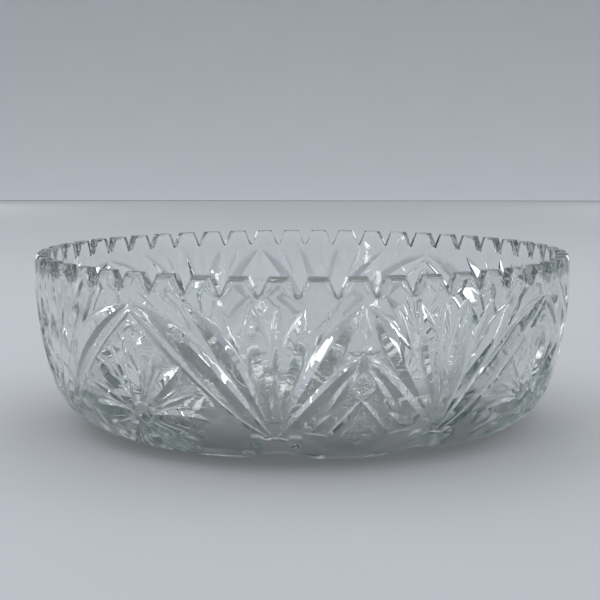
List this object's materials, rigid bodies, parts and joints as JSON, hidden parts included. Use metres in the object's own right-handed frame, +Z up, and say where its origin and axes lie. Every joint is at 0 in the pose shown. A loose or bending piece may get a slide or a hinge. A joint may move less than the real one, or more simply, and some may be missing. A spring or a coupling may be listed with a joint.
{
  "type": "punch bowl",
  "caption": "Shallow round bowl of heavy clear glass with a toothed rim, a flat ring foot and an outside wall cut with stars, arches, chevrons and leaf fans; for serving punch.",
  "frame": {"origin": "centre of the resting plane, under the middle of the bowl", "axes": "+Z up along the bowl's axis; the front of the bowl faces -Y"},
  "size_m": [0.28, 0.28, 0.09],
  "materials": {
    "clear_glass": "clear, polished, cut outside"
  },
  "bodies": {
    "root": {"bowl": "clear_glass"}
  },
  "joints": []
}
